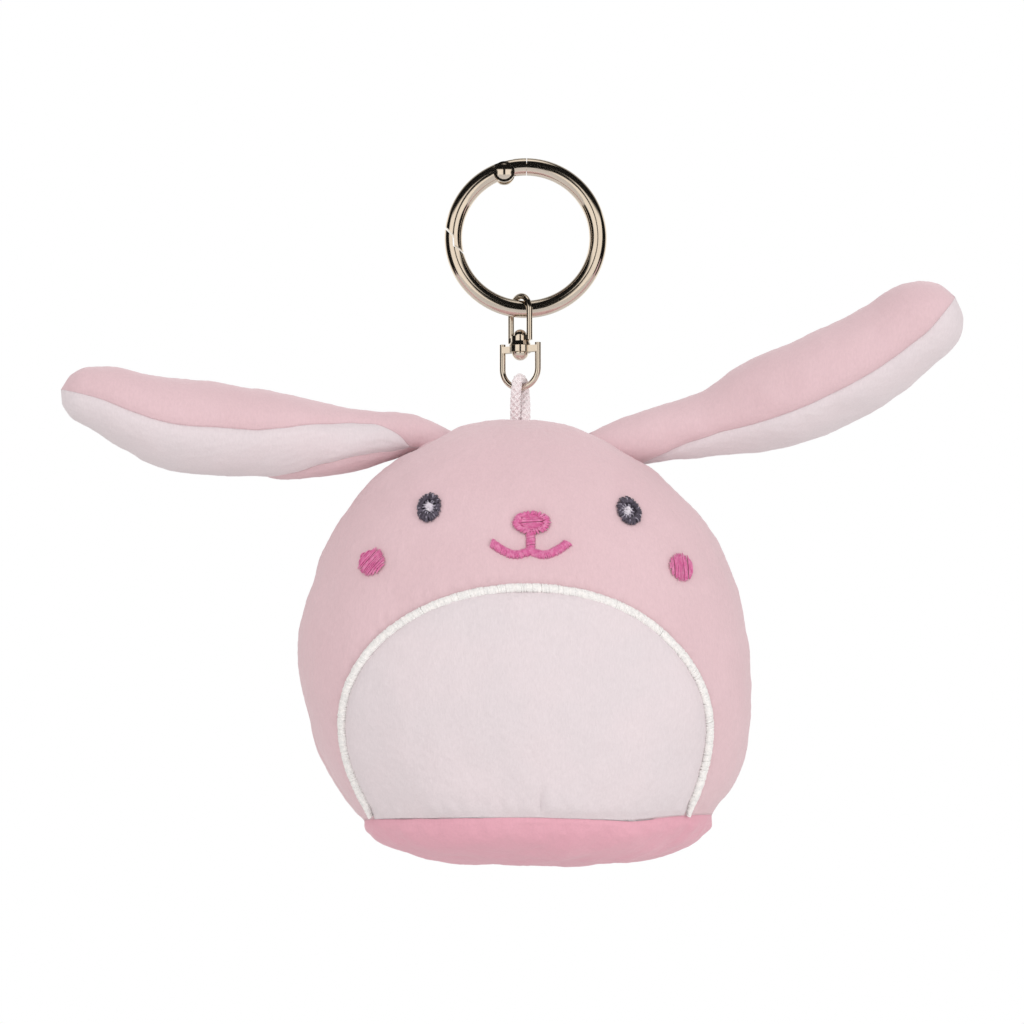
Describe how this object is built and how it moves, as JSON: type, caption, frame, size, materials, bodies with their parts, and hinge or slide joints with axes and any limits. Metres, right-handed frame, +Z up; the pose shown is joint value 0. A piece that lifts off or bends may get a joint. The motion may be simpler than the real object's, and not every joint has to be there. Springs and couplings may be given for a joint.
{
  "type": "plush keychain",
  "caption": "Round stuffed rabbit with two long side ears, a pale belly and a stitched face, hung by a cord loop and swivel from a spring gate ring.",
  "frame": {"origin": "centre of the gate ring's opening", "axes": "+Z up, the ring in the XZ plane, the face looks along -Y, +X to the right of someone facing it"},
  "size_m": [0.1795, 0.0642, 0.1423],
  "materials": {
    "nickel": "polished",
    "spring_steel": "satin",
    "cord": "matte",
    "pink_plush": "matte",
    "deep_pink_plush": "matte",
    "white_plush": "matte",
    "white_thread": "satin",
    "plum_thread": "satin",
    "rose_thread": "satin",
    "wadding": "matte"
  },
  "bodies": {
    "ring": {"ring_body": "nickel", "hinge_block": "nickel", "gate_pin": "nickel", "gate_spring": "spring_steel"},
    "gate": {"ring_gate": "nickel"},
    "plunger": {"gate_plunger": "spring_steel"},
    "bail": {"swivel_bail": "nickel", "swivel_rivet": "nickel"},
    "yoke": {"swivel_yoke": "nickel"},
    "loop": {"cord_loop": "cord"},
    "plush": {"body_front": "pink_plush", "body_back": "pink_plush", "base_panel": "deep_pink_plush", "belly_patch": "white_plush", "belly_border": "white_thread", "body_stuffing": "wadding", "left_eye": "plum_thread", "right_eye": "plum_thread", "left_eye_glint": "white_thread", "right_eye_glint": "white_thread", "nose": "rose_thread", "mouth": "rose_thread", "left_cheek": "rose_thread", "right_cheek": "rose_thread"},
    "left_ear": {"left_ear_outer": "pink_plush", "left_ear_lining": "white_plush", "left_ear_stuffing": "wadding"},
    "right_ear": {"right_ear_outer": "pink_plush", "right_ear_lining": "white_plush", "right_ear_stuffing": "wadding"}
  },
  "joints": [
    {"name": "gate_hinge", "type": "hinge", "parent": "ring", "child": "gate", "pos_m": [-0.00433, 0, 0.01332], "axis": [0, -1, 0], "range_deg": [0, 28], "stiffness_Nm_per_rad": 0.02, "springref_deg": -34.38},
    {"name": "plunger_slide", "type": "slide", "parent": "ring", "child": "plunger", "axis": [0.9511, 0, 0.309], "range_m": [0, 0.0004], "deforming": ["gate_spring"]},
    {"name": "bail_swing", "type": "hinge", "parent": "ring", "child": "bail", "pos_m": [-0.0011, 0, -0.01456], "axis": [0.9972, 0, -0.0753], "range_deg": [-70, 70]},
    {"name": "swivel_turn", "type": "hinge", "parent": "bail", "child": "yoke", "pos_m": [-0.0011, 0, -0.0226], "axis": [0, 0, 1], "continuous": true},
    {"name": "loop_swing", "type": "hinge", "parent": "yoke", "child": "loop", "pos_m": [-0.0011, 0, -0.0306], "axis": [0.9063, -0.4226, 0], "range_deg": [-60, 60], "deforming": ["cord_loop"]},
    {"name": "plush_sway", "type": "hinge", "parent": "loop", "child": "plush", "pos_m": [-0.0011, 0, -0.0366], "axis": [0.4226, 0.9063, 0], "range_deg": [-30, 30], "deforming": ["cord_loop"]},
    {"name": "left_ear_flap", "type": "hinge", "parent": "plush", "child": "left_ear", "pos_m": [-0.0205, 0, -0.0386], "axis": [0, 1, 0], "range_deg": [-10, 40], "stiffness_Nm_per_rad": 0.02},
    {"name": "right_ear_flap", "type": "hinge", "parent": "plush", "child": "right_ear", "pos_m": [0.0205, 0, -0.0386], "axis": [0, -1, 0], "range_deg": [-20, 40], "stiffness_Nm_per_rad": 0.02}
  ],
  "couplings": [
    {"joint": "plunger_slide", "follows": "gate_hinge", "m_per_rad": 0.0008}
  ]
}
